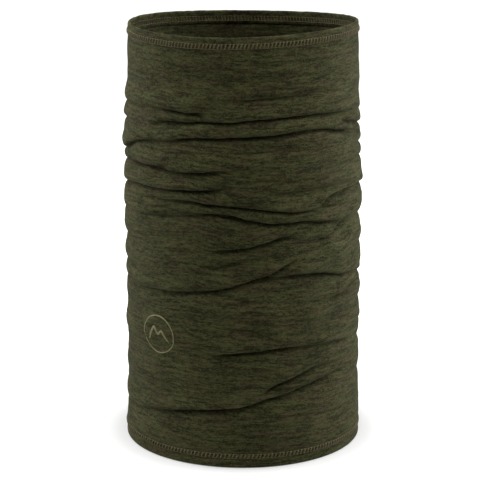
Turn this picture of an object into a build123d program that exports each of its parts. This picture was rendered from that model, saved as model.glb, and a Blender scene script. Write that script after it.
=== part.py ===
"""A neck gaiter: one seamless tube of fine knit, hemmed at both ends.

The tube stands on its bottom hem, gathered along its height, as it sits round a neck.
Its axis is +Z, its origin is the centre of the bottom rim, and its front faces -Y.
"""
from build123d import *
import os
from math import asin, cos, radians, sin

# Driving dimensions, in millimetres.
HEIGHT = 283.0            # standing height of the gathered tube
RADIUS_BOTTOM = 80.0      # outside radius at the bottom rim
RADIUS_TOP = 75.8         # outside radius at the top rim
FABRIC = 1.0              # one layer of knit
LAYER_GAP = 0.3           # air between two layers of knit
TOUCH_GAP = 0.05          # between a print or a thread and the knit that it lies on

# The gathered zone: rounded pleats that run round the tube.
GATHER_LOW = 101.0
GATHER_HIGH = 240.0
PLEATS = 7
PLEAT_DEPTH = 4.0

# The hems: the edge is turned in and held by a band of cover stitching.
HEM_HEIGHT = 10.0
TOP_BAND_OFFSET = 4.0     # from the top rim down to the band
TOP_BAND_WIDTH = 3.5
BOTTOM_BAND_OFFSET = 6.4  # from the bottom rim up to the band
BOTTOM_BAND_WIDTH = 3.2   # the band stays within the turned-in edge
THREAD = 0.5              # thickness of a needle thread
COVER_THICKNESS = 0.35    # thickness of the layer of looped threads
LOOPER_GROOVE = 0.4       # how far the inside threads pull into the turned-in edge

# The printed emblem, low on the wearer's right. The gathered knit squeezes its circle.
EMBLEM_ANGLE = -44.4      # degrees round from the front, towards +X
EMBLEM_HEIGHT = 83.8
EMBLEM_HALF_WIDTH = 13.9
EMBLEM_HALF_HEIGHT = 12.9
EMBLEM_LINE = 0.9
HILL_REACH = 8.6          # half the width of the hills inside the circle
HILL_LINE = 1.8
PRINT = 0.2               # thickness of the printed film

# The care label, sewn inside at the back, just above the bottom hem.
LABEL_WIDTH = 26.0
LABEL_HEIGHT = 34.0
LABEL_THICKNESS = 0.4
LABEL_STITCH_HEIGHT = 1.2

PLEAT_PITCH = (GATHER_HIGH - GATHER_LOW) / PLEATS
TOP_HEM_OUTER = RADIUS_TOP - FABRIC - LAYER_GAP
BOTTOM_HEM_OUTER = (
    RADIUS_BOTTOM
    + (RADIUS_TOP - RADIUS_BOTTOM) * HEM_HEIGHT / HEIGHT
    - FABRIC
    - LAYER_GAP
)


def outside_radius(z):
    """Outside radius of the smooth tube at a height."""
    return RADIUS_BOTTOM + (RADIUS_TOP - RADIUS_BOTTOM) * z / HEIGHT


def wall_edges(inset):
    """Profile of the tube's wall from bottom to top, moved in towards the axis by inset."""

    def point(z, depth=0.0):
        return (outside_radius(z) - inset - depth, z)

    half = PLEAT_PITCH / 2
    arc_radius = (half ** 2 + PLEAT_DEPTH ** 2) / (2 * PLEAT_DEPTH)
    half_turn = asin(half / arc_radius) / 2
    rise = arc_radius * sin(half_turn)
    drop = arc_radius * (1 - cos(half_turn))
    low_crest = GATHER_LOW - half
    high_crest = GATHER_HIGH + half
    edges = [
        Line(point(0), point(low_crest)),
        ThreePointArc(
            point(low_crest), point(low_crest + rise, drop), point(GATHER_LOW, PLEAT_DEPTH)
        ),
    ]
    for number in range(PLEATS):
        foot = GATHER_LOW + number * PLEAT_PITCH
        edges.append(
            ThreePointArc(
                point(foot, PLEAT_DEPTH), point(foot + half), point(foot + PLEAT_PITCH, PLEAT_DEPTH)
            )
        )
    edges.append(
        ThreePointArc(
            point(GATHER_HIGH, PLEAT_DEPTH), point(high_crest - rise, drop), point(high_crest)
        )
    )
    edges.append(Line(point(high_crest), point(HEIGHT)))
    return edges


def revolved(edges):
    """Solid of revolution about Z of a closed profile drawn as radius and height."""
    profile = Plane.XZ * make_face(Curve() + edges)
    return revolve(profile, Axis.Z)


def ring(inner, outer, low, high):
    """Straight ring about Z between two radii and two heights."""
    corners = [(inner, low), (outer, low), (outer, high), (inner, high)]
    return revolved([Polyline(*corners, close=True)])


def cone_ring(offset, thickness, low, high):
    """Thin layer that follows the smooth tube, from offset beyond its outside radius outwards."""
    near_low = outside_radius(low) + offset
    near_high = outside_radius(high) + offset
    corners = [
        (near_low, low),
        (near_low + thickness, low),
        (near_high + thickness, high),
        (near_high, high),
    ]
    return revolved([Polyline(*corners, close=True)])


def knit_tube():
    """The outer layer of the seamless tube, gathered into rounded pleats."""
    closing = [
        Line((RADIUS_BOTTOM, 0), (RADIUS_BOTTOM - FABRIC, 0)),
        Line((RADIUS_TOP, HEIGHT), (RADIUS_TOP - FABRIC, HEIGHT)),
    ]
    return revolved(wall_edges(0) + wall_edges(FABRIC) + closing)


def hem_turn(outer, low, band_low, band_width):
    """The edge of the tube turned in as a second layer, with a groove for its inside threads."""
    inner = outer - FABRIC
    high = low + HEM_HEIGHT
    band_high = band_low + band_width
    corners = [
        (inner, low),
        (outer, low),
        (outer, high),
        (inner, high),
        (inner, band_high),
        (inner + LOOPER_GROOVE, band_high),
        (inner + LOOPER_GROOVE, band_low),
        (inner, band_low),
    ]
    return revolved([Polyline(*corners, close=True)])


def needle_threads(gap, band_low, band_width):
    """Two lines of needle thread, one along each edge of a stitched band."""
    inside = THREAD / 2
    rings = []
    for height in (band_low + inside, band_low + band_width - inside):
        centre = outside_radius(height) + gap + inside
        section = Plane.XZ * Pos(centre, height) * Circle(inside)
        rings.append(revolve(section, Axis.Z))
    return Compound(rings)


def cover_thread(gap, band_low, band_width):
    """The looped thread on the outside, between the two needle lines."""
    low = band_low + THREAD + TOUCH_GAP
    high = band_low + band_width - THREAD - TOUCH_GAP
    return cone_ring(gap, COVER_THICKNESS, low, high)


def looper_thread(outer, band_low, band_width):
    """The looped thread on the inside, sunk into the groove of the turned-in edge."""
    wall = outer - FABRIC + LOOPER_GROOVE - TOUCH_GAP
    return ring(
        wall - COVER_THICKNESS + TOUCH_GAP,
        wall,
        band_low + TOUCH_GAP,
        band_low + band_width - TOUCH_GAP,
    )


def printed(shape):
    """Print a flat shape, drawn about the emblem's centre, on the outside of the tube."""
    low = EMBLEM_HEIGHT - 2 * EMBLEM_HALF_HEIGHT
    high = EMBLEM_HEIGHT + 2 * EMBLEM_HALF_HEIGHT
    film = cone_ring(TOUCH_GAP, PRINT, low, high)
    angle = radians(EMBLEM_ANGLE)
    outward = (sin(angle), -cos(angle), 0)
    across = (cos(angle), sin(angle), 0)
    plane = Plane(origin=(0, 0, EMBLEM_HEIGHT), x_dir=across, z_dir=outward)
    return film & extrude(plane * shape, RADIUS_BOTTOM + FABRIC)


def emblem_ring():
    """A thin printed circle, squeezed a little in height."""
    outer = Ellipse(EMBLEM_HALF_WIDTH, EMBLEM_HALF_HEIGHT)
    inner = Ellipse(EMBLEM_HALF_WIDTH - EMBLEM_LINE, EMBLEM_HALF_HEIGHT - EMBLEM_LINE)
    return printed(outer - inner)


def emblem_motif():
    """A plain line of two hills inside the circle."""
    reach = HILL_REACH
    ridge = [
        (-reach, -0.45 * reach),
        (-0.35 * reach, 0.6 * reach),
        (0.05 * reach, 0.05 * reach),
        (0.4 * reach, 0.4 * reach),
        (reach, -0.45 * reach),
    ]
    foot = [(x, y - HILL_LINE) for x, y in reversed(ridge)]
    return printed(make_face(Polyline(*ridge, *foot, close=True)))


def inside_patch(depth, thickness, width, low, height):
    """Patch on the inside of the tube at the back, its near face at a depth from the outside."""
    layer = cone_ring(-depth - thickness, thickness, low, low + height)
    cut = Pos(0, RADIUS_BOTTOM, low + height / 2) * Box(width, RADIUS_BOTTOM, 2 * height)
    return layer & cut


def care_label():
    """A blank cloth label, sewn by its lower edge just above the bottom hem."""
    low = HEM_HEIGHT + TOUCH_GAP
    return inside_patch(
        FABRIC + TOUCH_GAP, LABEL_THICKNESS, LABEL_WIDTH, low, LABEL_HEIGHT
    )


def care_label_stitches():
    """A row of thread that holds the label's lower edge."""
    low = HEM_HEIGHT + LABEL_STITCH_HEIGHT
    depth = FABRIC + LABEL_THICKNESS + 2 * TOUCH_GAP
    return inside_patch(depth, THREAD / 2, LABEL_WIDTH - THREAD, low, LABEL_STITCH_HEIGHT)


TOP_BAND = (HEIGHT - TOP_BAND_OFFSET - TOP_BAND_WIDTH, TOP_BAND_WIDTH)
BOTTOM_BAND = (BOTTOM_BAND_OFFSET, BOTTOM_BAND_WIDTH)

PARTS = {
    "knit_tube": knit_tube(),
    "top_hem_turn": hem_turn(TOP_HEM_OUTER, HEIGHT - HEM_HEIGHT, *TOP_BAND),
    "bottom_hem_turn": hem_turn(BOTTOM_HEM_OUTER, 0, *BOTTOM_BAND),
    "top_needle_threads": needle_threads(LAYER_GAP, *TOP_BAND),
    "top_cover_thread": cover_thread(LAYER_GAP, *TOP_BAND),
    "top_looper_thread": looper_thread(TOP_HEM_OUTER, *TOP_BAND),
    "bottom_needle_threads": needle_threads(TOUCH_GAP, *BOTTOM_BAND),
    "bottom_cover_thread": cover_thread(TOUCH_GAP, *BOTTOM_BAND),
    "bottom_looper_thread": looper_thread(BOTTOM_HEM_OUTER, *BOTTOM_BAND),
    "emblem_ring": emblem_ring(),
    "emblem_motif": emblem_motif(),
    "care_label": care_label(),
    "care_label_stitches": care_label_stitches(),
}

os.makedirs("parts", exist_ok=True)
for name, solid in PARTS.items():
    export_step(solid, f"parts/{name}.step")
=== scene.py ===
"""Looks of the neck gaiter: one sheet of knit, gathered into folds, with its hems, threads and print.

Everything is in metres in the CAD frame. The sheet is described by two cloth coordinates: the
angle round the tube, which is 0 at the front (-Y) and grows towards +X, and the distance along
the cloth from the bottom rim, in millimetres, which is longer than the height where it is folded.
"""
import math
import bpy
import numpy as np
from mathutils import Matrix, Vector


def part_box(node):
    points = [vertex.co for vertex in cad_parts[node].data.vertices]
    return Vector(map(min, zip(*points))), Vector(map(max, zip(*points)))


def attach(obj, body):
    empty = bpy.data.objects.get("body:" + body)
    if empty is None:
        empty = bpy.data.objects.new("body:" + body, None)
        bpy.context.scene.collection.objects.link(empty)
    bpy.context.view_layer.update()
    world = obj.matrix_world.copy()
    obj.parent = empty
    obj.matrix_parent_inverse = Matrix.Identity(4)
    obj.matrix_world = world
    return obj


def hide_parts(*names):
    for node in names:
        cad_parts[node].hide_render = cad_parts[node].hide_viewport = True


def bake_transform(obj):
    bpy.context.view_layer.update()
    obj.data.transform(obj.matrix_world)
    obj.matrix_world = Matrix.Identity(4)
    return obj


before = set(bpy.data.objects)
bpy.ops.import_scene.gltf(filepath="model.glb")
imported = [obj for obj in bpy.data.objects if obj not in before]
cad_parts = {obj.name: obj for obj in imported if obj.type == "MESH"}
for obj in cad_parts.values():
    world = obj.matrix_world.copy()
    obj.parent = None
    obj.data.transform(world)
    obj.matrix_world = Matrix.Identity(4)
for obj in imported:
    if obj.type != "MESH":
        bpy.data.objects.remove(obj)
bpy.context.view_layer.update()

MM = 0.001
SEED = 20
rng = np.random.default_rng(SEED)

# ------------ sizes, from the CAD frame (mm)
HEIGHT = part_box("knit_tube")[1].z / MM
RADIUS_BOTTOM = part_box("knit_tube")[1].x / MM
HEM_HEIGHT = (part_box("bottom_hem_turn")[1].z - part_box("bottom_hem_turn")[0].z) / MM
TWO_LAYERS = 1.3  # one layer of knit and the gap to the turned-in edge
RADIUS_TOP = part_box("top_hem_turn")[1].x / MM + TWO_LAYERS
TOP_BAND = [corner.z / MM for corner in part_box("top_needle_threads")]
BOTTOM_BAND = [corner.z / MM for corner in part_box("bottom_needle_threads")]
EMBLEM_LOW, EMBLEM_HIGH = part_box("emblem_ring")
FLAT_SIZE = (0.49, 0.40)  # the tube's cloth laid out flat: round, and along, in metres

# ------------ the cloth
THICKNESS = 0.7  # of the fine jersey
FOLD_ANGLE = 78.0  # degrees that the cloth turns inwards at the strongest fold
FOLD_WALL = 5.0  # mm of cloth that goes in at the strongest fold
FOLD_TURN = 0.9  # mm over which it turns round inside the fold
MOUTH_TURN = 0.8  # mm over which it turns at the fold's mouth
SHOULDER_BELOW = (10.0, 6.5)  # soft slope under a fold: degrees and reach
SHOULDER_ABOVE = (20.0, 3.25)  # tighter slope over it, of the same depth
ROLL_OUT = 2.1  # mm by which the cloth over the strongest fold rolls out past it
ROLL_WIDTH = 3.4  # the roll leans back in over about four times this
DROOP = 0.25  # how much a fold's inside is lifted, for each mm of depth
BELL_AREA = 2.507  # under a bell curve of width 1 and height 1
HEM_BEND = 0.75  # radius of the turn at a rim
FINE_RIPPLE = (0.17, 6, 26)  # strength in mm, and reach along and round in table samples
BROAD_RIPPLE = (0.50, 15, 42)

# Each fold runs round the tube: (degrees from the front, height in mm, strength from 0 to 1).
FOLDS = [
    # front, from the top down
    [(-14, 239, 0), (-7, 239, .25), (0, 240, .4), (9, 241.2, .5), (19, 241.4, .5), (28, 241.8, .4),
     (42, 242.7, .3), (52, 243, 0)],
    [(-150, 226, 0), (-110, 229, .3), (-80, 230.5, .4), (-66, 231.8, .4), (-52, 232.2, .4),
     (-42, 232.7, .6), (-33, 232.2, .85), (-25, 232, 1), (-20, 231.6, .7), (-16, 230.5, 0)],
    [(-50, 221, 0), (-46, 223, .3), (-40, 225, .8), (-33, 226, 1), (-24, 226.4, 1), (-14, 227.2, 1),
     (-5, 227.7, 1), (5, 228.6, 1), (14, 229, 1), (24, 229.6, 1), (36, 228.9, .9), (42, 228, .9),
     (52, 226.8, .8), (61, 225.8, .55), (70, 225, .35), (85, 223.5, .3), (110, 221, 0)],
    [(-150, 193, 0), (-120, 195, .35), (-95, 197, .4), (-80, 198.3, .55), (-73, 202.2, .75),
     (-66, 206.6, .7), (-56, 210, .7), (-47, 211.5, .6), (-42, 212, .6), (-33, 214.3, .75),
     (-24, 216.7, .95), (-14, 217.3, 1), (-5, 217.7, 1), (5, 217.7, .9), (14, 217.7, .85),
     (24, 218.7, .85), (33, 218.6, .7), (38, 218.5, .4), (42, 218, 0)],
    [(34, 219, 0), (40, 218.3, .7), (47, 216.8, .95), (56, 214.3, .9), (66, 211.8, .85),
     (73, 210.6, .6), (80, 209, .4), (90, 207.5, 0)],
    [(48, 222, 0), (55, 220.6, .4), (60, 219, .75), (66, 217.2, .8), (73, 215.4, .75),
     (80, 213.6, .6), (95, 212.5, .45), (120, 211, .4), (150, 210, 0)],
    [(-160, 187, 0), (-120, 189, .5), (-90, 190.5, .6), (-80, 191, .5), (-70, 193, .5),
     (-61, 193.8, .7), (-52, 194.6, .85), (-47, 195.6, .7), (-42, 197.2, .5), (-37, 198.4, .3),
     (-26, 199, 0)],
    [(-54, 193.4, 0), (-46, 193.1, .5), (-42, 193, .8), (-36, 193.3, 1), (-28, 194, 1), (-19, 194.6, .95),
     (-10, 196, .45), (0, 197, .3), (10, 197.4, .25), (24, 195.5, 0)],
    [(38, 192, 0), (47, 192.6, .25), (61, 192.3, .35), (75, 192.3, .4), (90, 191.5, .4), (120, 190, 0)],
    [(-150, 171, 0), (-120, 173, .5), (-80, 175.8, .7), (-70, 177.8, .7), (-61, 179.5, .75),
     (-52, 180.2, .9), (-42, 181.5, 1), (-33, 182.3, 1), (-24, 182.5, .95), (-16, 182.3, .8),
     (-12, 183.6, .55), (-5, 185.6, .25), (4, 186.5, 0)],
    [(8, 182, 0), (14, 181.3, .35), (24, 180.3, .5), (33, 180.7, .5), (42, 180.7, .45),
     (56, 180.2, .4), (70, 178.8, .3), (80, 178.5, 0)],
    [(-62, 172.5, 0), (-56, 172.9, .3), (-47, 174.4, .5), (-38, 174.4, .6), (-28, 174.9, .7),
     (-19, 174.2, .9), (-14, 173.9, 1), (-5, 173.4, 1), (5, 171.7, 1), (14, 170.2, 1),
     (21, 168.5, 1), (28, 167.4, 1), (35, 167.8, .8), (40, 168.3, .7), (45, 167.5, .4), (50, 166, 0)],
    [(31, 168, 0), (36, 169.8, .4), (42, 172.4, .6), (49, 174.4, .7), (56, 175.1, .85),
     (66, 175.4, 1), (75, 175.9, 1), (85, 174.9, 1), (105, 173, .9), (130, 171, .8), (160, 168, 0)],
    [(-46, 169, 0), (-43, 169.3, .5), (-39, 169.3, .6), (-33, 169, .4), (-27, 169, 0)],
    [(-120, 158, 0), (-80, 159, .35), (-56, 161.1, .3), (-47, 162.6, .55), (-38, 163.6, .55),
     (-28, 165.6, .55), (-19, 167.6, .6), (-10, 167.4, .75), (-5, 166.6, .85), (5, 163.4, 1),
     (12, 161.6, 1), (19, 161.1, 1), (25, 161.4, 1), (31, 160.6, .9), (38, 158.9, .85),
     (45, 157.4, .8), (52, 156, .7), (61, 154.7, .5), (70, 154.2, .4), (90, 153, .5),
     (120, 150, .5), (150, 148, 0)],
    [(-18, 142.3, 0), (-14, 143.8, .5), (-7, 144.3, .85), (0, 146.2, 1), (5, 147.5, .95),
     (11, 149.4, .9), (17, 151.2, .75), (21, 152, .45), (28, 153.2, 0)],
    [(35, 145.3, 0), (41, 146.8, .9), (45, 148.3, .85), (52, 150.7, .6), (58, 153.2, .3), (63, 154.4, 0)],
    [(-28, 129.4, 0), (-19, 130.4, .3), (-9, 133.4, .5), (-5, 135.9, .6), (-1, 136.9, .6), (4, 137.5, 0)],
    [(-140, 112, 0), (-100, 111.5, .35), (-56, 110.8, .4), (-47, 112.3, .55), (-38, 113.3, .65),
     (-28, 114.8, .7), (-19, 116.3, .75), (-11, 118.4, .85), (-5, 120.9, .95), (0, 122.9, 1),
     (5, 124.9, 1), (10, 127.4, 1), (14, 129.4, 1), (19, 130.9, .85), (24, 134.4, .45), (33, 137.4, 0)],
    [(5, 123, 0), (11, 124.5, .5), (19, 125, .65), (26, 125.2, .75), (34, 125.2, .85), (40, 124.4, .8),
     (47, 121.9, .9), (54, 119.9, 1), (58, 119, .95), (66, 117.7, .65), (75, 116.4, .6),
     (85, 112.9, .45), (103, 108.3, .4), (130, 105, 0)],
    [(41, 104.8, 0), (47, 105.3, .6), (52, 105.8, .85), (58, 107.8, .85), (66, 109.3, .6),
     (75, 109.3, .3), (84, 108, 0)],
    [(-10, 93.6, 0), (-5, 92.1, .35), (0, 89.9, .35), (9, 88.6, .3), (19, 87.6, 0)],
    [(-21, 72.3, 0), (-14, 73.3, .4), (-8, 74.8, .7), (0, 76.4, .9), (8, 76.5, .9), (14, 77.4, .8),
     (21, 77.9, .75), (28, 76.7, .65), (38, 75.9, .6), (47, 75.3, .6), (54, 74.3, .7),
     (61, 72.8, .4), (70, 72, 0)],
    [(47, 79, 0), (56, 79.9, .35), (66, 80.7, .35), (75, 80.9, .3), (90, 80.9, .3), (110, 80, 0)],
    [(-120, 24, 0), (-90, 24.5, .3), (-75, 25, .4), (-56, 26.8, .45), (-47, 29.4, .5),
     (-38, 31.5, .6), (-28, 34.1, .75), (-19, 36.2, .85), (-10, 38, 1), (0, 39.3, .95),
     (9, 42.9, .85), (19, 46, .85), (28, 48.6, .75), (36, 50.7, .7), (47, 53.3, .5),
     (56, 55.3, .4), (63, 56, .25), (75, 56.5, 0)],
    [(5, 45.9, 0), (10, 48.6, .45), (14, 51.7, .75), (19, 54.8, .95), (25, 57.4, .95),
     (33, 59.7, .8), (38, 60.5, .55), (52, 61.4, .3), (70, 61.4, .2), (85, 61, 0)],
    # faint ones between them
    [(0, 261, 0), (15, 262, .2), (35, 262.5, .2), (50, 262, 0)],
    [(-22, 252, 0), (-5, 253, .2), (15, 254.5, .25), (35, 255, .2), (52, 255, 0)],
    [(-5, 246.5, 0), (10, 247.5, .3), (30, 248, .25), (48, 248, 0)],
    [(-60, 204.5, 0), (-45, 205.5, .25), (-30, 206.5, .3), (-14, 207.5, 0)],
    [(0, 207, 0), (12, 208.5, .3), (30, 207.5, .3), (45, 206, .25), (58, 205, 0)],
    [(-12, 202, 0), (5, 202, .25), (20, 201, .25), (36, 200, 0)],
    [(-8, 190, 0), (10, 189, .3), (25, 188, .3), (42, 187.5, 0)],
    [(-58, 187, 0), (-42, 188.5, .3), (-27, 188.5, .25), (-10, 190, 0)],
    [(-62, 150, 0), (-45, 152, .3), (-30, 153, .3), (-18, 155, 0)],
    [(-44, 140, 0), (-30, 143, .25), (-18, 145, 0)],
    [(15, 136.5, 0), (25, 139, .3), (38, 141, .25), (50, 141, 0)],
    [(5, 116, 0), (18, 117, .3), (32, 116, .25), (46, 114, 0)],
    [(-32, 100, 0), (-15, 101, .25), (5, 99, .25), (22, 98, 0)],
    [(18, 66, 0), (35, 67, .25), (50, 67, .25), (62, 66, 0)],
    [(-10, 60, 0), (4, 62, .3), (15, 64, .25), (28, 66, 0)],
    [(-42, 52, 0), (-25, 54, .2), (-8, 56, 0)],
    # the two sides
    [(-135, 215, 0), (-100, 217, .5), (-80, 219, .5), (-60, 220, 0)],
    [(-140, 144, 0), (-100, 142, .5), (-80, 141, .5), (-60, 140, .35), (-38, 138, 0)],
    [(-135, 126, 0), (-95, 124, .5), (-75, 123, .45), (-52, 123, 0)],
    [(60, 201, 0), (80, 201, .4), (100, 200, .5), (140, 198, 0)],
    [(58, 133, 0), (80, 134, .4), (100, 135, .5), (138, 132, 0)],
    [(66, 94, 0), (82, 96, .45), (100, 98, .5), (130, 96, 0)],
    [(66, 67, 0), (82, 68, .4), (100, 68, .5), (134, 68, 0)],
    # the back, from the top down
    [(95, 233, 0), (140, 236, .6), (180, 238, .8), (220, 235, .6), (252, 232, 0)],
    [(125, 221, 0), (160, 224, .8), (190, 225, 1), (220, 222, .8), (245, 219, 0)],
    [(138, 209, 0), (170, 212, .7), (200, 213, .9), (225, 210, .7), (250, 204, 0)],
    [(105, 189, 0), (140, 192, .7), (175, 195, 1), (210, 194, .8), (236, 191, 0)],
    [(118, 182, 0), (150, 181, .8), (185, 178, 1), (215, 179, .6), (236, 181, 0)],
    [(158, 168, 0), (185, 165, .8), (205, 163, .7), (238, 165, 0)],
    [(150, 150, 0), (175, 152, .9), (200, 153, .9), (232, 156, 0)],
    [(118, 143, 0), (150, 140, .6), (180, 138, .8), (210, 141, .6), (242, 146, 0)],
    [(138, 126, 0), (170, 123, .7), (200, 125, .7), (228, 128, 0)],
    [(108, 117, 0), (150, 113, .5), (190, 109, .7), (218, 111, .5), (235, 112, 0)],
    [(128, 99, 0), (165, 95, .6), (200, 93, .6), (236, 97, 0)],
    [(118, 80, 0), (155, 76, .5), (190, 74, .6), (225, 77, .5), (252, 81, 0)],
    [(138, 54, 0), (175, 50, .6), (210, 45, .6), (242, 42, 0)],
    [(158, 35, 0), (190, 32, .5), (220, 30, .5), (238, 27, 0)],
]

ANGLES = 720  # columns of the working table, round the tube
STEP = 0.25  # mm along the cloth between its rows
FOLD_REACH = 22.0  # mm along the cloth, past which a fold has no effect
ORDER_BLUR = 1.2  # mm of height over which two folds that meet change places


def smooth_periodic(values, sigma, axis):
    """Gaussian blur that wraps round, by the Fourier transform. sigma is in samples."""
    count = values.shape[axis]
    gain = np.exp(-2 * (math.pi * sigma * np.fft.rfftfreq(count)) ** 2)
    shape = [1] * values.ndim
    shape[axis] = len(gain)
    return np.fft.irfft(np.fft.rfft(values, axis=axis) * gain.reshape(shape), n=count, axis=axis)


def smooth_along(values, sigma):
    """Gaussian blur along axis 0 that carries the end slopes on past the two ends."""
    rows = len(values)
    trend = np.linspace(0, 1, rows)[:, None] * (values[-1] - values[0])[None, :] + values[0]
    rest = values - trend
    mirrored = np.concatenate([rest, -rest[::-1]])
    return smooth_periodic(mirrored, sigma, 0)[:rows] + trend


def bell_weights(reach, sigma):
    """Weights of a Gaussian blur from -reach to reach samples, which add up to 1."""
    weights = np.exp(-0.5 * (np.arange(-reach, reach + 1) / sigma) ** 2)
    return weights / weights.sum()


def smooth_noise(shape, sigma_along, sigma_round):
    """Seeded noise of unit strength, smooth along the cloth (axis 0) and round the tube (axis 1)."""
    field = rng.standard_normal(shape)
    field = smooth_periodic(smooth_periodic(field, sigma_along, 0), sigma_round, 1)
    return field / field.std()


def fold_track(fold):
    """Height and strength of one fold at each column, with a soft start and end."""
    degrees = [p[0] for p in fold]
    fine = np.arange(-360.0, 480.0, 360.0 / ANGLES)
    start = int(np.searchsorted(fine, (degrees[0] + degrees[-1]) / 2 - 180.0))
    turn = np.arange(start, start + ANGLES)
    column = np.round(fine[turn] * ANGLES / 360.0).astype(int) % ANGLES
    track = np.zeros((2, ANGLES))
    for place in (0, 1):
        line = np.interp(fine, degrees, [p[place + 1] for p in fold])
        line = np.convolve(np.pad(line, 16, mode="edge"), bell_weights(16, 5.0), mode="valid")
        track[place, column] = line[turn]
    return track


def bump(u, width):
    """Odd bump that peaks at 1 at u = -width and at -1 at u = width."""
    x = u / width
    return -x * np.exp(0.5 * (1 - x * x))


def fold_slope(u, strength):
    """Angle by which the cloth leans inwards, at u mm along the cloth from a fold's middle.

    It goes in along one wall, turns round, and comes out along the other, a little further out,
    as a roll that leans back in above. A weaker fold is both shallower and less steep.
    """
    reach = np.where(u < 0, FOLD_WALL, FOLD_WALL + ROLL_OUT) * strength
    mouth = 1 / (1 + np.exp((np.abs(u) - reach) / MOUTH_TURN))
    steepest = np.radians(FOLD_ANGLE * np.sqrt(strength))
    wall = -np.tanh(u / FOLD_TURN) * mouth
    lean = np.sin(steepest) * ROLL_OUT * strength / (BELL_AREA * ROLL_WIDTH)
    lean = lean * np.exp(-0.5 * ((u - reach - 1.6 * ROLL_WIDTH) / ROLL_WIDTH) ** 2)
    below, above = SHOULDER_BELOW, SHOULDER_ABOVE
    shoulder = np.where(u < 0, below[0] * bump(u, below[1]), above[0] * bump(u, above[1]))
    return steepest * wall + np.radians(strength * shoulder) + lean


def consumed_length(strength):
    """Cloth that a fold takes up, beyond the height that it spans, for each strength."""
    u = np.arange(-FOLD_REACH, FOLD_REACH, 0.1)
    table_strength = np.linspace(0, 1, 21)
    taken = [(1 - np.cos(fold_slope(u, s))).sum() * 0.1 for s in table_strength]
    return np.interp(strength, table_strength, taken)


def outer_envelope(depth):
    """Smooth surface through the outermost cloth between the folds."""
    rows, columns = depth.shape
    high, wide = 16, 6  # one block is 4 mm by 3 degrees
    blocks = depth[: rows // high * high].reshape(rows // high, high, columns // wide, wide)
    low = blocks.min(axis=(1, 3))
    for _ in range(3):
        padded = np.pad(low, ((1, 1), (0, 0)), mode="edge")
        low = np.minimum(np.minimum(padded[:-2], padded[2:]), low)
        low = np.minimum(np.minimum(np.roll(low, 1, 1), np.roll(low, -1, 1)), low)
    low = smooth_periodic(low, 2.2, 1)
    at_row = (np.arange(rows) - high / 2 + 0.5) / high
    base = np.clip(np.floor(at_row).astype(int), 0, len(low) - 2)
    share = np.clip(at_row - base, 0, 1)[:, None]
    full = low[base] * (1 - share) + low[base + 1] * share
    padded = np.pad(full, ((120, 120), (0, 0)), mode="edge")
    full = sum(weight * padded[i : i + rows] for i, weight in enumerate(bell_weights(120, 40.0)))
    column_places = (np.arange(columns) - wide / 2 + 0.5) / wide
    left = np.floor(column_places).astype(int)
    share = column_places - left
    count = full.shape[1]
    return full[:, left % count] * (1 - share) + full[:, (left + 1) % count] * share


def gather():
    """The working table: distance along the cloth, and height and depth by row and column, in mm.

    With it come the middle of each fold along the cloth, and its presence, by fold and column.
    """
    tracks = [fold_track(f) for f in FOLDS]
    heights = np.array([t[0] for t in tracks])
    strengths = np.array([t[1] for t in tracks])
    waver = rng.standard_normal(heights.shape)
    heights = heights + 0.9 * smooth_periodic(waver, 12, 1)
    taken = consumed_length(strengths)
    below = 1 / (1 + np.exp((heights[None, :, :] - heights[:, None, :]) / ORDER_BLUR))
    centres = heights + (below * taken[None, :, :]).sum(1)
    along = np.arange(0, HEIGHT + taken.sum(0).max() + 40, STEP)
    rows = len(along)
    ripple = 0
    for size, sigma_along, sigma_round in (FINE_RIPPLE, BROAD_RIPPLE):
        ripple = ripple + size * smooth_noise((rows, ANGLES), sigma_along, sigma_round)
    ripple_slope = np.gradient(ripple, STEP, axis=0)
    column = np.arange(ANGLES)[None, :]
    calm = 0.6
    for _ in range(6):
        slope = np.zeros((rows, ANGLES))
        folded = np.zeros((rows, ANGLES))
        for centre, strength in zip(centres, strengths):
            active = strength > 0.003
            first = max(int((centre[active].min() - FOLD_REACH) / STEP), 0)
            last = int((centre[active].max() + FOLD_REACH) / STEP)
            u = along[first:last, None] - centre[None, active]
            part = fold_slope(u, strength[None, active])
            slope[first:last, active] += np.where(np.abs(u) < FOLD_REACH, part, 0)
            folded[first:last, active] += strength[active] * np.exp(-((u / (FOLD_WALL + 2)) ** 4))
        slope += ripple_slope * calm * np.clip(1 - folded, 0, 1)
        height = np.cumsum(np.cos(slope), axis=0) * STEP
        depth = np.cumsum(np.sin(slope), axis=0) * STEP
        row = np.clip(centres / STEP, 0, rows - 1).astype(int)
        centres = centres + (heights - height[row, column])
        low_end = np.clip((height - 14) / 60, 0, 1)
        high_end = np.clip((HEIGHT - 14 - height) / 50, 0, 1)
        calm = 0.25 + 0.95 * low_end * high_end
    slow = smooth_along(depth, 14 / STEP)
    depth -= slow - smooth_periodic(slow, 24, 1)
    depth -= outer_envelope(depth)
    dilated = np.max([np.roll(strengths, shift, 1) for shift in range(-24, 25, 6)], axis=0)
    return along, height, depth, centres, smooth_periodic(dilated, 20, 1)


along, height, depth, fold_centres, fold_presence = gather()


RIM_MEAN = HEIGHT - 2.19
RIM_TILT = (-0.98, 0.65)  # mm that it rises to the front, and to the right
RIM_SADDLE = (-1.14, 0.6)  # the same, twice round


def rim_at(degrees):
    """Height of the top rim at an angle: it dips at the front, most on the left, and at the back."""
    a = np.radians(degrees)
    once = RIM_TILT[0] * np.cos(a) + RIM_TILT[1] * np.sin(a)
    twice = RIM_SADDLE[0] * np.cos(2 * a) + RIM_SADDLE[1] * np.sin(2 * a)
    return RIM_MEAN + once + twice


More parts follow.
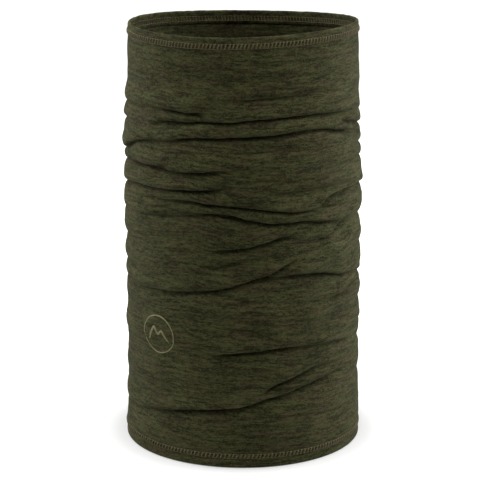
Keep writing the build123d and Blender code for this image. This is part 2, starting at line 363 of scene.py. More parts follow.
column_angle = np.arange(ANGLES) * 2 * math.pi / ANGLES
rim_height = rim_at(np.degrees(column_angle))
inside_lift = DROOP * depth * np.clip(height / 20, 0, 1) * np.clip((HEIGHT - 15 - height) / 20, 0, 1)
FOOT = HEM_BEND + THICKNESS / 2  # height of the middle of the turn at a rim

# Where the gathered tube swells beyond a straight one: (mm outwards, middle height, reach).
MAIN_SWELL = (2.7, 0.63 * HEIGHT, 0.19 * HEIGHT)
LEFT_SWELL = (1.9, 217, 24)
LOWER_SWELL = (1.2, 102, 28)


def swell_at(outwards, middle_height, reach):
    """How far one swell pushes the cloth out, at each place in the working table."""
    return outwards * np.exp(-(((height - middle_height) / reach) ** 2))


towards_left = 0.5 - 0.5 * np.sin(column_angle)
swell = swell_at(*MAIN_SWELL) + swell_at(*LEFT_SWELL) * towards_left + swell_at(*LOWER_SWELL)
outer_radius = RADIUS_BOTTOM + (RADIUS_TOP - RADIUS_BOTTOM) * height / HEIGHT - THICKNESS / 2
outer_radius = outer_radius + swell - depth
stretch = (rim_height - 2 * FOOT) / (HEIGHT - 2 * FOOT)
cloth_height = FOOT + (height + inside_lift) * stretch[None, :]
PINCH_UPPER = 0.12  # how far the stitching pulls the cloth in, at its two lines
PINCH_LOWER = 0.4
PINCH_REACH = 0.7  # mm either way from a line, except below the lower one,
TOP_FADE, BOTTOM_FADE = 5.0, 1.5  # where the cloth comes out again over this
top_down = [HEIGHT - TOP_BAND[1], HEIGHT - TOP_BAND[0]]  # the band, down from the top rim
HEM_INSIDE = BOTTOM_BAND[1] - FOOT + 0.3  # from the turn in to the raw edge


def band_pinch(z, rim):
    """How far the stitching draws the cloth in, at heights z, where the top rim is at rim."""
    pull = 0
    top_lines = (rim - top_down[0], rim - top_down[1], TOP_FADE)
    bottom_lines = (BOTTOM_BAND[1], BOTTOM_BAND[0], BOTTOM_FADE)
    for upper, lower, fade in (top_lines, bottom_lines):
        soft = np.where(z < lower, fade, PINCH_REACH)
        pull = pull + PINCH_UPPER * np.exp(-0.5 * ((z - upper) / PINCH_REACH) ** 2)
        pull = pull + PINCH_LOWER * np.exp(-0.5 * ((z - lower) / soft) ** 2)
    return pull


EDGE_TAPER = 4.0  # the cloth thins out over this much of the turned-in edge
EDGE_SHARE = 0.35  # to this share of its thickness
EDGE_CLOSE = 0.28  # and comes this much nearer to the outer layer
TURN_CLOSE, TURN_OVER = 0.75, 3.0  # the layers draw together by this, so far in from the turn


def inner_depth(inside):
    """How far behind the outer layer the turned-in one lies, at a distance in from the turn."""
    to_edge = np.clip((inside - HEM_INSIDE + EDGE_TAPER) / EDGE_TAPER, 0, 1)
    past_turn = np.clip(inside / TURN_OVER, 0, 1)
    return 2 * HEM_BEND - TURN_CLOSE * past_turn - EDGE_CLOSE * to_edge


def half_thickness(from_edge):
    """Half of the cloth's thickness, which thins out towards a raw edge."""
    share = EDGE_SHARE + (1 - EDGE_SHARE) * from_edge / EDGE_TAPER
    return THICKNESS / 2 * np.clip(share, EDGE_SHARE, 1)


# ------------ the sheet as a mesh
SHEET_ROWS = 320
SHEET_COLUMNS = 150
FLAT_SPACING = 1.6  # mm between rows where the cloth is flat
ROWS_PER_FOLD = 18  # more rows for the strongest fold
ROWS_PER_TURN = 2.2  # more rows for each radian that the cloth bends at a hem
LEVEL_SHARE = 0.7  # how far the knit's flecks stay level as the knit stretches


def column_line(j):
    """Middle line of the cloth at one column, from the bottom hem's raw edge to the top one's.

    Returns distance along the cloth, radius and height, all in mm.
    """
    top = int(np.argmax(cloth_height[:, j] >= rim_height[j] - FOOT))
    z = cloth_height[:top, j]
    r = outer_radius[:top, j] - band_pinch(z, rim_height[j])
    s = along[:top]
    bend = np.linspace(0, math.pi, 13)[1:-1]
    inside = np.arange(0, HEM_INSIDE + 0.01, 0.5)

    def turned(z_middle, sign, r_line, z_line):
        """The turn at a rim and the layer inside it, walking away from the outer layer."""
        r_rim = np.interp(z_middle, z_line, r_line)
        turn_r = r_rim - HEM_BEND + HEM_BEND * np.cos(bend)
        turn_z = z_middle + sign * HEM_BEND * np.sin(bend)
        layer_z = z_middle - sign * inside
        order = np.argsort(z_line)
        layer_r = np.interp(layer_z, z_line[order], r_line[order]) - inner_depth(inside)
        lengths = np.concatenate([HEM_BEND * bend, math.pi * HEM_BEND + inside])
        return lengths, np.concatenate([turn_r, layer_r]), np.concatenate([turn_z, layer_z])

    near_foot, near_rim = slice(0, 100), slice(top - 100, top)  # 25 mm of cloth at each end
    low_s, low_r, low_z = turned(z[0], -1, r[near_foot], z[near_foot])
    high_s, high_r, high_z = turned(z[-1], 1, r[near_rim], z[near_rim])
    line_s = np.concatenate([-low_s[::-1], s, s[-1] + high_s])
    line_r = np.concatenate([low_r[::-1], r, high_r])
    line_z = np.concatenate([low_z[::-1], z, high_z])
    return line_s, line_r, line_z


def row_effort(j, s, r, z):
    """How many rows the mesh needs up to each place on a column's line.

    Rows are level where the cloth is flat, and each fold brings rows of its own, whose number
    changes slowly round the tube, so that the rows run along the folds.
    """
    effort = np.abs(np.cumsum(np.abs(np.gradient(z)))) / FLAT_SPACING
    for centre, presence in zip(fold_centres[:, j], fold_presence[:, j]):
        width = 0.85 * ((FOLD_WALL + ROLL_OUT / 2) * presence + 1.0)
        effort = effort + 0.5 * ROWS_PER_FOLD * presence * np.tanh((s - centre) / width)
    at_hem = (z < HEM_HEIGHT + 1) | (z > HEIGHT - HEM_HEIGHT - 2)
    heading = np.unwrap(np.arctan2(np.gradient(r), np.gradient(z)))
    return effort + np.cumsum(np.abs(np.gradient(heading)) * at_hem) * ROWS_PER_TURN


def sheet_grid():
    """Rows by columns of points in the middle of the cloth, and their distance along it."""
    points = np.zeros((SHEET_ROWS, SHEET_COLUMNS, 3))
    distance = np.zeros((SHEET_ROWS, SHEET_COLUMNS))
    for c in range(SHEET_COLUMNS):
        j = int(round(c * ANGLES / SHEET_COLUMNS)) % ANGLES
        s, r, z = column_line(j)
        effort = row_effort(j, s, r, z) + 1e-3 * np.arange(len(s))
        at = np.interp(np.linspace(effort[0], effort[-1], SHEET_ROWS), effort, s)
        radius = np.interp(at, s, r)
        angle = 2 * math.pi * c / SHEET_COLUMNS
        points[:, c, 0] = radius * math.sin(angle)
        points[:, c, 1] = -radius * math.cos(angle)
        points[:, c, 2] = np.interp(at, s, z)
        distance[:, c] = (at - s[0]) / (s[-1] - s[0])
    return points, distance * cloth_length()


def cloth_length():
    """Mean length of the cloth along the tube, with both turned-in edges, in mm."""
    lengths = []
    for j in range(0, ANGLES, 8):
        s = column_line(j)[0]
        lengths.append(s[-1] - s[0])
    return float(np.mean(lengths))


def grid_normals(points):
    """Outward unit normals of a grid that wraps round in its columns."""
    up = np.gradient(points, axis=0)
    round_ = np.roll(points, -1, 1) - np.roll(points, 1, 1)
    normal = np.cross(round_, up)
    return normal / np.linalg.norm(normal, axis=2, keepdims=True)


def new_mesh(name, points, faces, smooth=True):
    """Object in the scene from points in mm."""
    mesh = bpy.data.meshes.new(name)
    mesh.from_pydata([tuple(p) for p in np.asarray(points) * MM], [], faces)
    mesh.polygons.foreach_set("use_smooth", [smooth] * len(mesh.polygons))
    mesh.update()
    obj = bpy.data.objects.new(name, mesh)
    bpy.context.scene.collection.objects.link(obj)
    return obj


def knit_sheet():
    """The whole sheet, with its thickness and both turned-in hems, as one closed shell."""
    points, distance = sheet_grid()
    normal = grid_normals(points)
    half = half_thickness(np.minimum(distance, distance.max() - distance))[:, :, None]
    layers = [points + normal * half, points - normal * half]
    count = SHEET_ROWS * SHEET_COLUMNS
    index = np.arange(count).reshape(SHEET_ROWS, SHEET_COLUMNS)
    right = np.roll(index, -1, 1)
    quads = np.stack([index[:-1], right[:-1], right[1:], index[1:]], axis=-1).reshape(-1, 4)
    back = quads[:, ::-1] + count
    ends = []
    for row, flip in ((0, 1), (SHEET_ROWS - 1, 0)):
        a, b = index[row], right[row]
        edge = np.stack([a, a + count, b + count, b], axis=-1)
        ends.append(edge[:, ::-1] if flip == 0 else edge)
    faces = np.concatenate([quads, back] + ends)
    obj = new_mesh("knit_sheet", np.concatenate([x.reshape(-1, 3) for x in layers]), faces.tolist())
    mesh = obj.data
    turn = np.tile(np.arange(SHEET_COLUMNS), (SHEET_ROWS, 1)) / SHEET_COLUMNS
    round_length = FLAT_SIZE[0] / MM
    s = np.tile(distance.reshape(-1), 2)
    t = np.tile(turn.reshape(-1), 2)
    radius = round_length / (2 * math.pi)
    level = np.tile(points[:, :, 2].reshape(-1), 2) * (s.max() - s.min()) / HEIGHT
    grain = LEVEL_SHARE * level + (1 - LEVEL_SHARE) * s
    cloth = np.stack([radius * np.sin(2 * math.pi * t), -radius * np.cos(2 * math.pi * t), grain], 1)
    attribute = mesh.attributes.new("cloth_mm", "FLOAT_VECTOR", "POINT")
    attribute.data.foreach_set("vector", cloth.astype(np.float32).ravel())
    layer = mesh.uv_layers.new(name="UVMap")
    corner = np.zeros(len(mesh.loops), int)
    mesh.loops.foreach_get("vertex_index", corner)
    u = t[corner].reshape(-1, 4)
    u = np.where((u.max(1) - u.min(1) > 0.5)[:, None] & (u < 0.5), u + 1, u)
    uv = np.stack([u.ravel() * round_length, s[corner]], 1)
    layer.data.foreach_set("uv", uv.astype(np.float32).ravel())
    return obj


sheet = knit_sheet()

# ------------ places on the cloth
LEVEL_STEP = 0.25  # mm of height between the rows of the table of radii
TABLE_HEIGHTS = np.arange(0, HEIGHT + 3, LEVEL_STEP)
radius_table = np.zeros((len(TABLE_HEIGHTS), ANGLES))
for j in range(ANGLES):
    top = int(np.argmax(cloth_height[:, j] >= rim_height[j] - FOOT))
    radius_table[:, j] = np.interp(TABLE_HEIGHTS, cloth_height[:top, j], outer_radius[:top, j])


def middle_radius(degrees, z):
    """Radius of the middle of the outer layer at an angle and a height."""
    a = np.asarray(degrees, float) * ANGLES / 360.0
    h = np.clip(np.asarray(z, float) / LEVEL_STEP, 0, len(TABLE_HEIGHTS) - 1.001)
    a0, h0 = np.floor(a).astype(int), np.floor(h).astype(int)
    fa, fh = a - a0, h - h0
    low = radius_table[h0, a0 % ANGLES] * (1 - fa) + radius_table[h0, (a0 + 1) % ANGLES] * fa
    high = radius_table[h0 + 1, a0 % ANGLES] * (1 - fa) + radius_table[h0 + 1, (a0 + 1) % ANGLES] * fa
    return low * (1 - fh) + high * fh


def placed(degrees, radius, z):
    """Points in mm from an angle, a radius and a height."""
    a = np.radians(degrees)
    return np.stack([radius * np.sin(a), -radius * np.cos(a), z + 0 * a], axis=-1)


def tube_faces(first, rings, sides):
    """Faces of a closed tube whose rings of points start at index first."""
    faces = []
    for ring in range(rings - 1):
        for side in range(sides):
            a = first + ring * sides + side
            b = first + ring * sides + (side + 1) % sides
            faces.append((a, b, b + sides, a + sides))
    faces.append(tuple(first + side for side in reversed(range(sides))))
    faces.append(tuple(first + (rings - 1) * sides + side for side in range(sides)))
    return faces


def thread_mesh(name, lines, thickness, sides=6):
    """One mesh of many short threads. Each line is a list of points in mm, tapered at its ends."""
    points, faces = [], []
    for line in lines:
        line = np.asarray(line)
        along_line = np.gradient(line, axis=0)
        along_line /= np.linalg.norm(along_line, axis=1, keepdims=True)
        outward = line * [1, 1, 0]
        outward /= np.linalg.norm(outward, axis=1, keepdims=True)
        across = np.cross(along_line, outward)
        across /= np.linalg.norm(across, axis=1, keepdims=True)
        outward = np.cross(across, along_line)
        taper = np.sqrt(np.clip(1 - np.linspace(-1, 1, len(line)) ** 4, 0.25, 1)) * thickness / 2
        first = len(points)
        for middle, side_way, out_way, half in zip(line, across, outward, taper):
            for k in range(sides):
                turn = 2 * math.pi * k / sides
                points.append(middle + half * (math.cos(turn) * side_way + math.sin(turn) * out_way))
        faces += tube_faces(first, len(line), sides)
    return new_mesh(name, points, faces)


# ------------ the hems' stitching
STITCHES = 196  # round each hem, so a stitch is 2.5 mm long
NEEDLE_THREAD = 0.4
COVER_THREAD = 0.85
LOOPER_THREAD = 0.42
BAR_LEAN = 0.75  # share of a stitch by which a cover bar slants
INSIDE_LIFT = 0.5  # the inside threads lie flatter than the outside ones


def band_heights(edge, degrees, low_share):
    """Height of a place in a band, from its share of the way down it."""
    if edge == "top":
        return rim_at(degrees) - (top_down[0] + (top_down[1] - top_down[0]) * low_share)
    return BOTTOM_BAND[1] - (BOTTOM_BAND[1] - BOTTOM_BAND[0]) * low_share


def stitch_radius(degrees, z, lift, inside):
    """Radius of a thread that lies on the outside of the cloth, or inside the turned-in edge."""
    middle = middle_radius(degrees, z) - band_pinch(z, rim_at(degrees))
    if inside:
        from_turn = np.where(z > HEIGHT / 2, rim_at(degrees) - z, z) - FOOT
        surface = middle - inner_depth(from_turn) - half_thickness(HEM_INSIDE - from_turn)
        return surface - INSIDE_LIFT * lift
    return middle + THICKNESS / 2 + lift


def needle_lines(edge, inside):
    """Two rows of short stitches, each dipping into the cloth at its ends."""
    lines = []
    pitch = 360.0 / STITCHES
    share = np.linspace(0, 1, 7)
    for low_share in (0.06, 0.94):
        for k in range(STITCHES):
            jitter = rng.normal(0, 0.05, 2)
            degrees = (k + 0.06 + 0.88 * share) * pitch
            z = band_heights(edge, degrees, low_share) + jitter[0]
            lift = 0.16 * np.sin(math.pi * share) ** 0.6
            lines.append(placed(degrees, stitch_radius(degrees, z, lift, inside), z))
    return lines


def cover_bars(edge, inside):
    """The looped thread between the needle rows: one slanted bar for each stitch."""
    lines = []
    pitch = 360.0 / STITCHES
    share = np.linspace(0, 1, 9)
    for k in range(STITCHES):
        jitter = rng.normal(0, 1, 4)
        sweep = share + 0.10 * np.sin(2 * math.pi * share)
        degrees = (k + 0.1 + BAR_LEAN * (1 + 0.1 * jitter[0]) * (1 - sweep)) * pitch
        z = band_heights(edge, degrees, 0.02 + 0.96 * share) + 0.06 * jitter[1]
        lift = (0.03 + 0.20 * np.sin(math.pi * share) ** 0.7) * (1 + 0.08 * jitter[2])
        lines.append(placed(degrees, stitch_radius(degrees, z, lift, inside), z))
    return lines


pieces = {}
for edge, body in (("top", "top_edge"), ("bottom", "tube")):
    needle = thread_mesh(f"{edge}_needle_stitches", needle_lines(edge, False), NEEDLE_THREAD)
    cover = thread_mesh(f"{edge}_cover_loops", cover_bars(edge, False), COVER_THREAD)
    looper = thread_mesh(
        f"{edge}_looper_loops", cover_bars(edge, True) + needle_lines(edge, True), LOOPER_THREAD
    )
    for obj, node in ((needle, "needle_threads"), (cover, "cover_thread"), (looper, "looper_thread")):
        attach(obj, body)
        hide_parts(f"{edge}_{node}")
        pieces[obj.name] = obj

# ------------ the printed emblem
EMBLEM_DEGREES = math.degrees(
    math.atan2((EMBLEM_LOW.x + EMBLEM_HIGH.x) / 2, -(EMBLEM_LOW.y + EMBLEM_HIGH.y) / 2)
)
EMBLEM_MIDDLE = (EMBLEM_LOW.z + EMBLEM_HIGH.z) / 2 / MM
EMBLEM_HALF_HEIGHT = (EMBLEM_HIGH.z - EMBLEM_LOW.z) / 2 / MM
EMBLEM_HALF_WIDTH = 14.2  # mm round the tube, to the outside of the ring's line
PRINT_LINE = 0.85
HILL_LINE = 1.5
PRINT_LIFT = 0.07


def printed_stroke(name, path, width, closed):
    """A thin raised film along a path drawn in mm about the emblem's middle."""
    path = np.asarray(path, float)
    if closed:
        heading = np.roll(path, -1, 0) - np.roll(path, 1, 0)
    else:
        heading = np.gradient(path, axis=0)
    heading /= np.linalg.norm(heading, axis=1, keepdims=True)
    across = np.stack([-heading[:, 1], heading[:, 0]], 1)
    offsets = np.array([-0.5, -0.38, -0.15, 0.15, 0.38, 0.5]) * width
    lifts = np.array([-0.25, 0.75, 1, 1, 0.75, -0.25]) * PRINT_LIFT
    points = []
    for middle, side in zip(path, across):
        for offset, lift in zip(offsets, lifts):
            x, y = middle + side * offset
            z = EMBLEM_MIDDLE + y
            degrees = EMBLEM_DEGREES + math.degrees(x / RADIUS_BOTTOM)
            radius = middle_radius(degrees, z) + THICKNESS / 2 + lift
            points.append(placed(degrees, radius, z))
    n = len(offsets)
    count = len(path)
    faces = []
    for i in range(count if closed else count - 1):
        for k in range(n):
            a, b = i * n + k, i * n + (k + 1) % n
            c, d = (i + 1) % count * n + (k + 1) % n, (i + 1) % count * n + k
            faces.append((a, b, c, d))
    if not closed:
        faces.append(tuple(range(n))[::-1])
        faces.append(tuple((count - 1) * n + k for k in range(n)))
    return new_mesh(name, points, faces)


def rounded_path(corners, spacing=0.5, rounding=3):
    """Points along straight runs, with the corners rounded by repeated averaging."""
    path = []
    for start, end in zip(corners[:-1], corners[1:]):
        steps = max(int(math.dist(start, end) / spacing), 1)
        for i in range(steps):
            path.append([start[k] + (end[k] - start[k]) * i / steps for k in (0, 1)])
    path.append(list(corners[-1]))
    path = np.array(path)
    for _ in range(rounding):
        path[1:-1] = (path[:-2] + 2 * path[1:-1] + path[2:]) / 4
    return path


turns = np.linspace(0, 2 * math.pi, 120, endpoint=False)
ring_path = np.stack(
    [
        (EMBLEM_HALF_WIDTH - PRINT_LINE / 2) * np.cos(turns),
        (EMBLEM_HALF_HEIGHT - PRINT_LINE / 2) * np.sin(turns),
    ],
    1,
)
emblem_ring = printed_stroke("printed_ring", ring_path, PRINT_LINE, True)
HILL_REACH = 9.3  # half the width of the line of hills
hills = [(-1, -0.5), (-0.35, 0.55), (0.05, 0), (0.4, 0.35), (1, -0.5)]
hill_path = rounded_path([(x * HILL_REACH, y * HILL_REACH) for x, y in hills])
emblem_hills = printed_stroke("printed_hills", hill_path, HILL_LINE, False)

# ------------ the care label
LABEL_LOW, LABEL_HIGH = (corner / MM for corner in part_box("care_label"))
LABEL_FACES = (0.5, 0.85)  # mm from the inside of the knit to the label's two faces


def care_label():
    """A blank woven label, sewn by its lower edge, its free edge standing off a little."""
    across = np.linspace(LABEL_LOW.x, LABEL_HIGH.x, 23)
    up = np.linspace(LABEL_LOW.z, LABEL_HIGH.z, 31)
    layers = []
    for lift in LABEL_FACES:
        for z in up:
            free = (z - LABEL_LOW.z) / (LABEL_HIGH.z - LABEL_LOW.z)
            degrees = 180 - np.degrees(across / (RADIUS_BOTTOM - 2))
            radius = middle_radius(degrees, z) - THICKNESS / 2 - lift
            radius = radius - 1.1 * free ** 2 - 0.35 * free * np.sin(across / 4.0)
            layers.append(placed(degrees, radius, z))
    points = np.concatenate(layers)
    rows, columns = len(up), len(across)
    count = rows * columns
    faces = []
    for i in range(rows - 1):
        for k in range(columns - 1):
            a = i * columns + k
            quad = (a, a + 1, a + columns + 1, a + columns)
            faces.append(quad[::-1])
            faces.append(tuple(v + count for v in quad))
    border = list(range(columns))
    border += [i * columns + columns - 1 for i in range(1, rows)]
    border += [(rows - 1) * columns + k for k in range(columns - 2, -1, -1)]
    border += [i * columns for i in range(rows - 2, 0, -1)]
    for a, b in zip(border, border[1:] + border[:1]):
        faces.append((a, b, b + count, a + count))
    return new_mesh("blank_care_label", points, faces)


def label_stitches():
    """A row of straight stitches along the label's lower edge."""
    lines = []
    pitch = 2.4
    share = np.linspace(0, 1, 7)
    z = LABEL_LOW.z + 1.8
    count = int((LABEL_HIGH.x - LABEL_LOW.x - 2) / pitch)
    for k in range(count):
        x = LABEL_LOW.x + 1 + (k + 0.1 + 0.8 * share) * pitch
        degrees = 180 - np.degrees(x / (RADIUS_BOTTOM - 2))
        lift = LABEL_FACES[1] + 0.2 * np.sin(math.pi * share)
        radius = middle_radius(degrees, z) - THICKNESS / 2 - lift
        lines.append(placed(degrees, radius, np.full(len(share), z)))
    return lines


label = care_label()
label_thread = thread_mesh("care_label_thread", label_stitches(), NEEDLE_THREAD)

# ------------ what moves with what
for obj in (sheet, emblem_ring, emblem_hills, label):
    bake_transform(obj)
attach(label_thread, "tube")
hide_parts("knit_tube", "top_hem_turn", "bottom_hem_turn")
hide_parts("emblem_ring")
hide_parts("emblem_motif")
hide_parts("care_label")
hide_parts("care_label_stitches")


# ------------ materials
class Shader:
    """A material's node tree, with short ways to add and join nodes."""

    def __init__(self, name):
        self.material = bpy.data.materials.new(name)
        self.material.use_nodes = True
        self.tree = self.material.node_tree
        self.principled = self.tree.nodes["Principled BSDF"]

    def node(self, kind, **settings):
        made = self.tree.nodes.new(kind)
        for key, value in settings.items():
            setattr(made, key, value)
        return made

    def join(self, source, target):
        self.tree.links.new(source, target)

    def put(self, value, socket):
        if isinstance(value, bpy.types.NodeSocket):
            self.join(value, socket)
        else:
            socket.default_value = value

    def math(self, operation, a, b=0.0, clamp=False):
        made = self.node("ShaderNodeMath", operation=operation, use_clamp=clamp)
        self.put(a, made.inputs[0])
        self.put(b, made.inputs[1])
        return made.outputs[0]

    def scaled(self, vector, scale):
        made = self.node("ShaderNodeVectorMath", operation="MULTIPLY")
        self.put(vector, made.inputs[0])
        made.inputs[1].default_value = scale
        return made.outputs[0]

    def noise(self, vector, detail=2.0, roughness=0.5, distortion=0.0):
        made = self.node("ShaderNodeTexNoise")
        self.join(vector, made.inputs["Vector"])
        made.inputs["Scale"].default_value = 1.0
        made.inputs["Detail"].default_value = detail
        made.inputs["Roughness"].default_value = roughness
        made.inputs["Distortion"].default_value = distortion
        return made.outputs["Fac"]

    def band(self, value, low, high):
        """Value from 0 at low to 1 at high."""
        made = self.node("ShaderNodeMapRange", clamp=True, interpolation_type="SMOOTHSTEP")
        self.put(value, made.inputs["Value"])
        made.inputs["From Min"].default_value = low
        made.inputs["From Max"].default_value = high
        return made.outputs["Result"]

    def mix(self, share, a, b, blend="MIX"):
        made = self.node("ShaderNodeMix", data_type="RGBA", blend_type=blend)
        self.put(share, made.inputs["Factor"])
        self.put(a, made.inputs[6])
        self.put(b, made.inputs[7])
        return made.outputs[2]

    def bump(self, height, distance, strength=1.0, normal=None):
        made = self.node("ShaderNodeBump")
        made.inputs["Strength"].default_value = strength
        made.inputs["Distance"].default_value = distance
        self.join(height, made.inputs["Height"])
        if normal is not None:
            self.join(normal, made.inputs["Normal"])
        return made.outputs["Normal"]

    def set(self, **inputs):
        for key, value in inputs.items():
            self.put(value, self.principled.inputs[key.replace("_", " ")])


def rgb(red, green, blue):
    return (red, green, blue, 1.0)


WALE_WIDTH = 0.9  # mm, one column of knit stitches
COURSE_HEIGHT = 0.7  # mm, one row of them


def knit_material():
    """Heathered fine jersey: flecked yarn, knit in columns of small V stitches, a little fuzzy."""
    sh = Shader("heathered_knit")
    cloth = sh.node("ShaderNodeAttribute", attribute_name="cloth_mm").outputs["Vector"]
    fleck = sh.noise(sh.scaled(cloth, (0.30, 0.30, 0.88)), detail=2.5, roughness=0.68)
    streak = sh.noise(sh.scaled(cloth, (0.055, 0.055, 0.46)), detail=3.0, roughness=0.6)
    hair = sh.noise(sh.scaled(cloth, (1.1, 1.1, 1.7)), detail=1.0)
    hue = sh.noise(sh.scaled(cloth, (0.06, 0.06, 0.22)), detail=2.5, roughness=0.6)
    patch = sh.noise(sh.scaled(cloth, (0.018, 0.018, 0.05)), detail=1.0)
    tone = sh.math("ADD", sh.math("MULTIPLY", fleck, 0.38), sh.math("MULTIPLY", streak, 0.37))
    tone = sh.math("ADD", tone, sh.math("MULTIPLY", hair, 0.25))
    light = sh.band(tone, 0.37, 0.65)
    green = sh.mix(light, rgb(0.0140, 0.0145, 0.0042), rgb(0.100, 0.103, 0.040))
    brown = sh.mix(light, rgb(0.0200, 0.0165, 0.0058), rgb(0.106, 0.091, 0.043))
    colour = sh.mix(sh.band(hue, 0.46, 0.66), green, brown)
    colour = sh.mix(sh.band(patch, 0.3, 0.75), colour, rgb(0.80, 0.80, 0.80), "MULTIPLY")
    flat = sh.node("ShaderNodeUVMap", uv_map="UVMap").outputs["UV"]
    split = sh.node("ShaderNodeSeparateXYZ")
    sh.join(flat, split.inputs[0])
    wale = sh.math("FRACT", sh.math("MULTIPLY", split.outputs["X"], 1 / WALE_WIDTH))
    arm = sh.math("ABSOLUTE", sh.math("SUBTRACT", wale, 0.5))
    rib = sh.math("SINE", sh.math("MULTIPLY", arm, 2 * math.pi))
    lean = sh.math("ADD", sh.math("MULTIPLY", split.outputs["Y"], 1 / COURSE_HEIGHT), arm)
    course = sh.math("SINE", sh.math("MULTIPLY", lean, 2 * math.pi))
    stitch = sh.math("ADD", sh.math("MULTIPLY", rib, 0.6), sh.math("MULTIPLY", course, 0.4))
    rough_yarn = sh.bump(tone, 0.0011, 0.75)
    normal = sh.bump(stitch, 0.00012, 0.6, rough_yarn)
    sh.set(Base_Color=colour, Normal=normal, Roughness=0.92)
    sh.set(Sheen_Weight=0.06, Sheen_Roughness=0.5, Sheen_Tint=rgb(0.80, 0.82, 0.56))
    sh.principled.inputs["Specular IOR Level"].default_value = 0.12
    return sh.material


def thread_material():
    """Spun thread with a twist, browner and lighter than the knit."""
    sh = Shader("sewing_thread")
    place = sh.node("ShaderNodeTexCoord").outputs["Object"]
    twist = sh.noise(sh.scaled(place, (2600, 2600, 2600)), detail=2.0)
    tint = sh.noise(sh.scaled(place, (120, 120, 120)), detail=1.0)
    greener = sh.band(tint, 0.35, 0.65)
    dark = sh.mix(greener, rgb(0.056, 0.042, 0.012), rgb(0.066, 0.054, 0.019))
    light = sh.mix(greener, rgb(0.165, 0.128, 0.046), rgb(0.178, 0.147, 0.058))
    sh.set(Base_Color=sh.mix(sh.band(twist, 0.35, 0.65), dark, light), Roughness=0.75)
    sh.set(Normal=sh.bump(twist, 0.0001, 0.6), Sheen_Weight=0.2, Sheen_Roughness=0.4)
    return sh.material


def print_material():
    """Matte transfer film that takes on the cloth's grain."""
    sh = Shader("emblem_print")
    place = sh.node("ShaderNodeTexCoord").outputs["Object"]
    grain = sh.noise(sh.scaled(place, (260, 260, 1500)), detail=2.0)
    worn = sh.mix(sh.band(grain, 0.25, 0.6), rgb(0.120, 0.112, 0.036), rgb(0.205, 0.195, 0.070))
    sh.set(Base_Color=worn, Roughness=0.55, Normal=sh.bump(grain, 0.00025, 0.6))
    return sh.material


def label_material():
    """Close-woven satin tape."""
    sh = Shader("label_tape")
    place = sh.node("ShaderNodeTexCoord").outputs["Object"]
    weave = sh.noise(sh.scaled(place, (500, 500, 3800)), detail=1.0)
    warp = sh.noise(sh.scaled(place, (3800, 3800, 300)), detail=1.0)
    cloth = sh.math("ADD", sh.math("MULTIPLY", weave, 0.5), sh.math("MULTIPLY", warp, 0.5))
    tone = sh.mix(sh.band(cloth, 0.35, 0.65), rgb(0.28, 0.275, 0.25), rgb(0.40, 0.39, 0.36))
    sh.set(Base_Color=tone, Roughness=0.6, Normal=sh.bump(cloth, 0.00015, 0.5))
    return sh.material


knit, thread, film, tape = knit_material(), thread_material(), print_material(), label_material()
sheet.data.materials.append(knit)
emblem_ring.data.materials.append(film)
emblem_hills.data.materials.append(film)
label.data.materials.append(tape)
for obj in [*pieces.values(), label_thread]:
    obj.data.materials.append(thread)


# ------------ floor, light and camera
def pale_floor_with_painted_shadow():
    """A large pale floor that shows white, with a faint shadow where the tube meets it, partly cast by
    the lamps and partly painted.

    It glows for the camera only, which is painted light, and more with the distance from the tube's axis,
    in metres: the weaker glow close to the axis is a painted contact shadow.
    """
    size = 12.0
    mesh = bpy.data.meshes.new("floor")
    corners = [(-size, -size, 0), (size, -size, 0), (size, size, 0), (-size, size, 0)]
    mesh.from_pydata(corners, [], [(0, 1, 2, 3)])
    obj = bpy.data.objects.new("floor", mesh)
    bpy.context.scene.collection.objects.link(obj)
    sh = Shader("floor")
    sh.set(Base_Color=rgb(0.55, 0.55, 0.54), Roughness=0.9)
    seen = sh.node("ShaderNodeLightPath").outputs["Is Camera Ray"]
    place = sh.node("ShaderNodeTexCoord").outputs["Object"]
    away = sh.node("ShaderNodeVectorMath", operation="LENGTH")
    sh.join(place, away.inputs[0])
    # painted contact shadow: the glow is 0.20 lower within 0.08 m of the tube's axis, and comes back over
    # the next 18 mm
    glow_past_painted_shadow = sh.math("MULTIPLY", sh.band(away.outputs["Value"], 0.080, 0.098), 0.20)
    # painted light: the glow grows further out, up to 0.45 m from the axis, where the lamps' light falls
    # off
    painted_light_far_out = sh.math("MULTIPLY", sh.band(away.outputs["Value"], 0.10, 0.45), 0.42)
    # the floor's glow, with its painted shadow and painted light, seen by the camera only
    painted_floor_glow = sh.math("ADD", sh.math("ADD", glow_past_painted_shadow, painted_light_far_out), 0.42)
    sh.set(Emission_Color=rgb(1, 1, 1), Emission_Strength=sh.math("MULTIPLY", seen, painted_floor_glow))
    mesh.materials.append(sh.material)


WORLD_ON_OBJECT = 0.095
WORLD_SEEN = 1.05


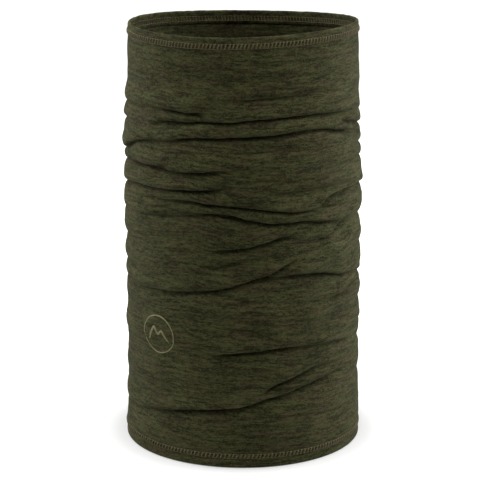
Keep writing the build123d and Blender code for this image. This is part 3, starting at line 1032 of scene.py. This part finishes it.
def white_world():
    """White behind everything, and a weak even light on the object."""
    world = bpy.data.worlds.new("studio")
    bpy.context.scene.world = world
    world.use_nodes = True
    tree = world.node_tree
    background = tree.nodes["Background"]
    background.inputs["Color"].default_value = (1, 1, 1, 1)
    seen = tree.nodes.new("ShaderNodeLightPath")
    strength = tree.nodes.new("ShaderNodeMapRange")
    strength.inputs["To Min"].default_value = WORLD_ON_OBJECT
    strength.inputs["To Max"].default_value = WORLD_SEEN
    tree.links.new(seen.outputs["Is Camera Ray"], strength.inputs["Value"])
    tree.links.new(strength.outputs["Result"], background.inputs["Strength"])


def softbox(name, place, aim, width, tall, power):
    """A rectangular soft light."""
    data = bpy.data.lights.new(name, "AREA")
    data.shape = "RECTANGLE"
    data.size, data.size_y, data.energy = width, tall, power
    obj = bpy.data.objects.new(name, data)
    bpy.context.scene.collection.objects.link(obj)
    obj.location = place
    obj.rotation_euler = (Vector(aim) - Vector(place)).to_track_quat("-Z", "Y").to_euler()


middle = HEIGHT * MM / 2
pale_floor_with_painted_shadow()
white_world()
softbox("softbox_left", (-1.05, 0.32, 0.55), (0, 0, middle), 1.0, 1.0, 11.6)
softbox("softbox_right", (1.08, 0.28, 0.55), (0, 0, middle), 1.0, 1.0, 14.5)
softbox("softbox_top", (0, -0.3, 1.6), (0, 0, middle), 1.1, 1.1, 13.2)
softbox("softbox_front", (0, -1.2, 1.7), (0, 0, middle), 0.8, 0.8, 4.5)

CAMERA_AWAY = 1.109  # from the tube's axis, level
CAMERA_ABOVE = 0.1165  # above the top rim
SENSOR = 36.0
camera_data = bpy.data.cameras.new("camera")
camera_data.sensor_width = SENSOR
camera_data.lens = 126.6
camera = bpy.data.objects.new("camera", camera_data)
bpy.context.scene.collection.objects.link(camera)
camera.location = (0, -CAMERA_AWAY, HEIGHT * MM + CAMERA_ABOVE)
aim = Vector((-0.0020, 0, 0.1332))
camera.rotation_euler = (aim - camera.location).to_track_quat("-Z", "Y").to_euler()
bpy.context.scene.camera = camera
bpy.context.scene.view_settings.view_transform = "Standard"
